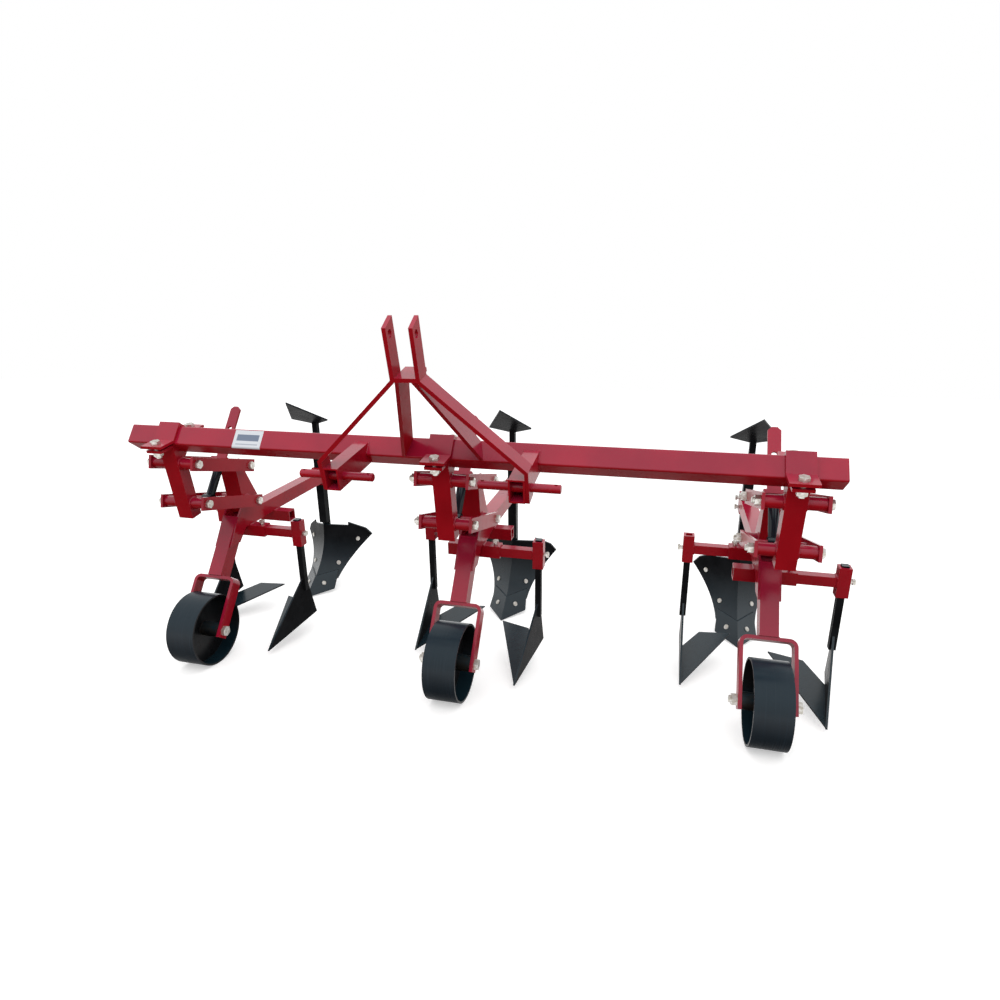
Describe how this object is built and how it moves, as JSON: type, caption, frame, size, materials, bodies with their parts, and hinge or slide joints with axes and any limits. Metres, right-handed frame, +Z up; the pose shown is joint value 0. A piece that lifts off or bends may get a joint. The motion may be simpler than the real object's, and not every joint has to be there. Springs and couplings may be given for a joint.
{
  "type": "tine ridger",
  "caption": "Tractor-mounted inter-row ridger: toolbar with a three-point hitch and floating row units on parallel links, each with gauge wheel, side hoes and a ridging body.",
  "frame": {"origin": "on the floor under the middle of the whole machine", "axes": "+X along the toolbar to the right seen from the tractor, -Y towards the tractor, +Z up"},
  "size_m": [2.248, 1.3562, 1.0949],
  "materials": {
    "red_paint": "gloss crimson enamel",
    "tool_black": "satin black paint",
    "wheel_black": "satin black paint",
    "zinc_plated": "zinc plated"
  },
  "bodies": {
    "carrier": {"toolbar": "red_paint", "toolbar_end_caps": "red_paint", "hitch_arm_left": "red_paint", "hitch_arm_right": "red_paint", "lower_hitch_pins": "red_paint", "mast_bar_left": "red_paint", "mast_bar_right": "red_paint", "mast_spacer": "red_paint", "mast_stay_left": "red_paint", "mast_stay_right": "red_paint", "clamp_bolts": "zinc_plated", "front_pivot_bolts": "zinc_plated", "left_unit_toolbar_clamp": "red_paint", "left_unit_hanger": "red_paint", "middle_unit_toolbar_clamp": "red_paint", "middle_unit_hanger": "red_paint", "right_unit_toolbar_clamp": "red_paint", "right_unit_hanger": "red_paint"},
    "left_unit_lower_link_body": {"left_unit_lower_links": "red_paint"},
    "left_unit_upper_link_body": {"left_unit_upper_links": "red_paint"},
    "left_unit_frame_body": {"left_unit_frame": "red_paint", "left_unit_frame_bolts": "zinc_plated", "left_unit_wheel_leg": "red_paint"},
    "left_unit_strap_body": {"left_unit_limit_strap": "red_paint"},
    "left_unit_wheel_body": {"left_unit_gauge_wheel": "wheel_black"},
    "left_unit_right_arm_body": {"left_unit_hoe_arm_right": "red_paint"},
    "left_unit_left_arm_body": {"left_unit_hoe_arm_left": "red_paint"},
    "left_unit_right_hoe_body": {"left_unit_hoe_right": "tool_black"},
    "left_unit_left_hoe_body": {"left_unit_hoe_left": "tool_black"},
    "left_unit_ridger_body": {"left_unit_ridger_leg": "tool_black", "left_unit_ridger_wings": "tool_black", "left_unit_ridger_share": "tool_black"},
    "middle_unit_lower_link_body": {"middle_unit_lower_links": "red_paint"},
    "middle_unit_upper_link_body": {"middle_unit_upper_links": "red_paint"},
    "middle_unit_frame_body": {"middle_unit_frame": "red_paint", "middle_unit_frame_bolts": "zinc_plated", "middle_unit_wheel_leg": "red_paint"},
    "middle_unit_strap_body": {"middle_unit_limit_strap": "red_paint"},
    "middle_unit_wheel_body": {"middle_unit_gauge_wheel": "wheel_black"},
    "middle_unit_right_arm_body": {"middle_unit_hoe_arm_right": "red_paint"},
    "middle_unit_left_arm_body": {"middle_unit_hoe_arm_left": "red_paint"},
    "middle_unit_right_hoe_body": {"middle_unit_hoe_right": "tool_black"},
    "middle_unit_left_hoe_body": {"middle_unit_hoe_left": "tool_black"},
    "middle_unit_ridger_body": {"middle_unit_ridger_leg": "tool_black", "middle_unit_ridger_wings": "tool_black", "middle_unit_ridger_share": "tool_black"},
    "right_unit_lower_link_body": {"right_unit_lower_links": "red_paint"},
    "right_unit_upper_link_body": {"right_unit_upper_links": "red_paint"},
    "right_unit_frame_body": {"right_unit_frame": "red_paint", "right_unit_frame_bolts": "zinc_plated", "right_unit_wheel_leg": "red_paint"},
    "right_unit_strap_body": {"right_unit_limit_strap": "red_paint"},
    "right_unit_wheel_body": {"right_unit_gauge_wheel": "wheel_black"},
    "right_unit_right_arm_body": {"right_unit_hoe_arm_right": "red_paint"},
    "right_unit_left_arm_body": {"right_unit_hoe_arm_left": "red_paint"},
    "right_unit_right_hoe_body": {"right_unit_hoe_right": "tool_black"},
    "right_unit_left_hoe_body": {"right_unit_hoe_left": "tool_black"},
    "right_unit_ridger_body": {"right_unit_ridger_leg": "tool_black", "right_unit_ridger_wings": "tool_black", "right_unit_ridger_share": "tool_black"}
  },
  "joints": [
    {"name": "left_unit_lift", "type": "hinge", "parent": "carrier", "child": "left_unit_lower_link_body", "pos_m": [-0.8785, -0.3132, 0.55284], "axis": [1, 0, 0], "range_deg": [0, 25], "stiffness_Nm_per_rad": 100, "springref_deg": -34.38},
    {"name": "left_unit_upper_link_pivot", "type": "hinge", "parent": "carrier", "child": "left_unit_upper_link_body", "pos_m": [-0.8785, -0.34775, 0.68231], "axis": [1, 0, 0], "range_deg": [0, 25]},
    {"name": "left_unit_frame_pivot", "type": "hinge", "parent": "left_unit_lower_link_body", "child": "left_unit_frame_body", "pos_m": [-0.8785, -0.05609, 0.51416], "axis": [1, 0, 0], "range_deg": [-25, 0]},
    {"name": "left_unit_strap_pivot", "type": "hinge", "parent": "left_unit_lower_link_body", "child": "left_unit_strap_body", "pos_m": [-0.8785, -0.1975, 0.53544], "axis": [1, 0, 0], "range_deg": [-15.25, 0]},
    {"name": "left_unit_wheel_spin", "type": "hinge", "parent": "left_unit_frame_body", "child": "left_unit_wheel_body", "pos_m": [-0.8785, -0.27774, 0.117], "axis": [1, 0, 0], "continuous": true},
    {"name": "left_unit_right_arm_slide", "type": "slide", "parent": "left_unit_frame_body", "child": "left_unit_right_arm_body", "axis": [1, 0, 0], "range_m": [-0.06, 0.04]},
    {"name": "left_unit_left_arm_slide", "type": "slide", "parent": "left_unit_frame_body", "child": "left_unit_left_arm_body", "axis": [-1, 0, 0], "range_m": [-0.06, 0.04]},
    {"name": "left_unit_right_hoe_height", "type": "slide", "parent": "left_unit_right_arm_body", "child": "left_unit_right_hoe_body", "axis": [0, -0.1209, 0.9927], "range_m": [-0.03, 0.06]},
    {"name": "left_unit_left_hoe_height", "type": "slide", "parent": "left_unit_left_arm_body", "child": "left_unit_left_hoe_body", "axis": [0, -0.1209, 0.9927], "range_m": [-0.03, 0.06]},
    {"name": "left_unit_ridger_height", "type": "slide", "parent": "left_unit_frame_body", "child": "left_unit_ridger_body", "axis": [0, -0.1209, 0.9927], "range_m": [-0.06, 0.06]},
    {"name": "middle_unit_lift", "type": "hinge", "parent": "carrier", "child": "middle_unit_lower_link_body", "pos_m": [-0.0135, -0.3132, 0.55284], "axis": [1, 0, 0], "range_deg": [0, 25], "stiffness_Nm_per_rad": 100, "springref_deg": -34.38},
    {"name": "middle_unit_upper_link_pivot", "type": "hinge", "parent": "carrier", "child": "middle_unit_upper_link_body", "pos_m": [-0.0135, -0.34775, 0.68231], "axis": [1, 0, 0], "range_deg": [0, 25]},
    {"name": "middle_unit_frame_pivot", "type": "hinge", "parent": "middle_unit_lower_link_body", "child": "middle_unit_frame_body", "pos_m": [-0.0135, -0.05609, 0.51416], "axis": [1, 0, 0], "range_deg": [-25, 0]},
    {"name": "middle_unit_strap_pivot", "type": "hinge", "parent": "middle_unit_lower_link_body", "child": "middle_unit_strap_body", "pos_m": [-0.0135, -0.1975, 0.53544], "axis": [1, 0, 0], "range_deg": [-15.25, 0]},
    {"name": "middle_unit_wheel_spin", "type": "hinge", "parent": "middle_unit_frame_body", "child": "middle_unit_wheel_body", "pos_m": [-0.0135, -0.27774, 0.117], "axis": [1, 0, 0], "continuous": true},
    {"name": "middle_unit_right_arm_slide", "type": "slide", "parent": "middle_unit_frame_body", "child": "middle_unit_right_arm_body", "axis": [1, 0, 0], "range_m": [-0.06, 0.04]},
    {"name": "middle_unit_left_arm_slide", "type": "slide", "parent": "middle_unit_frame_body", "child": "middle_unit_left_arm_body", "axis": [-1, 0, 0], "range_m": [-0.06, 0.04]},
    {"name": "middle_unit_right_hoe_height", "type": "slide", "parent": "middle_unit_right_arm_body", "child": "middle_unit_right_hoe_body", "axis": [0, -0.1209, 0.9927], "range_m": [-0.03, 0.06]},
    {"name": "middle_unit_left_hoe_height", "type": "slide", "parent": "middle_unit_left_arm_body", "child": "middle_unit_left_hoe_body", "axis": [0, -0.1209, 0.9927], "range_m": [-0.03, 0.06]},
    {"name": "middle_unit_ridger_height", "type": "slide", "parent": "middle_unit_frame_body", "child": "middle_unit_ridger_body", "axis": [0, -0.1209, 0.9927], "range_m": [-0.06, 0.06]},
    {"name": "right_unit_lift", "type": "hinge", "parent": "carrier", "child": "right_unit_lower_link_body", "pos_m": [0.8785, -0.3132, 0.55284], "axis": [1, 0, 0], "range_deg": [0, 25], "stiffness_Nm_per_rad": 100, "springref_deg": -34.38},
    {"name": "right_unit_upper_link_pivot", "type": "hinge", "parent": "carrier", "child": "right_unit_upper_link_body", "pos_m": [0.8785, -0.34775, 0.68231], "axis": [1, 0, 0], "range_deg": [0, 25]},
    {"name": "right_unit_frame_pivot", "type": "hinge", "parent": "right_unit_lower_link_body", "child": "right_unit_frame_body", "pos_m": [0.8785, -0.05609, 0.51416], "axis": [1, 0, 0], "range_deg": [-25, 0]},
    {"name": "right_unit_strap_pivot", "type": "hinge", "parent": "right_unit_lower_link_body", "child": "right_unit_strap_body", "pos_m": [0.8785, -0.1975, 0.53544], "axis": [1, 0, 0], "range_deg": [-15.25, 0]},
    {"name": "right_unit_wheel_spin", "type": "hinge", "parent": "right_unit_frame_body", "child": "right_unit_wheel_body", "pos_m": [0.8785, -0.27774, 0.117], "axis": [1, 0, 0], "continuous": true},
    {"name": "right_unit_right_arm_slide", "type": "slide", "parent": "right_unit_frame_body", "child": "right_unit_right_arm_body", "axis": [1, 0, 0], "range_m": [-0.06, 0.04]},
    {"name": "right_unit_left_arm_slide", "type": "slide", "parent": "right_unit_frame_body", "child": "right_unit_left_arm_body", "axis": [-1, 0, 0], "range_m": [-0.06, 0.04]},
    {"name": "right_unit_right_hoe_height", "type": "slide", "parent": "right_unit_right_arm_body", "child": "right_unit_right_hoe_body", "axis": [0, -0.1209, 0.9927], "range_m": [-0.03, 0.06]},
    {"name": "right_unit_left_hoe_height", "type": "slide", "parent": "right_unit_left_arm_body", "child": "right_unit_left_hoe_body", "axis": [0, -0.1209, 0.9927], "range_m": [-0.03, 0.06]},
    {"name": "right_unit_ridger_height", "type": "slide", "parent": "right_unit_frame_body", "child": "right_unit_ridger_body", "axis": [0, -0.1209, 0.9927], "range_m": [-0.06, 0.06]}
  ],
  "couplings": [
    {"joint": "left_unit_upper_link_pivot", "follows": "left_unit_lift", "ratio": 1},
    {"joint": "left_unit_frame_pivot", "follows": "left_unit_lift", "ratio": -1},
    {"joint": "left_unit_strap_pivot", "follows": "left_unit_lift", "ratio": -0.61},
    {"joint": "middle_unit_upper_link_pivot", "follows": "middle_unit_lift", "ratio": 1},
    {"joint": "middle_unit_frame_pivot", "follows": "middle_unit_lift", "ratio": -1},
    {"joint": "middle_unit_strap_pivot", "follows": "middle_unit_lift", "ratio": -0.61},
    {"joint": "right_unit_upper_link_pivot", "follows": "right_unit_lift", "ratio": 1},
    {"joint": "right_unit_frame_pivot", "follows": "right_unit_lift", "ratio": -1},
    {"joint": "right_unit_strap_pivot", "follows": "right_unit_lift", "ratio": -0.61}
  ]
}
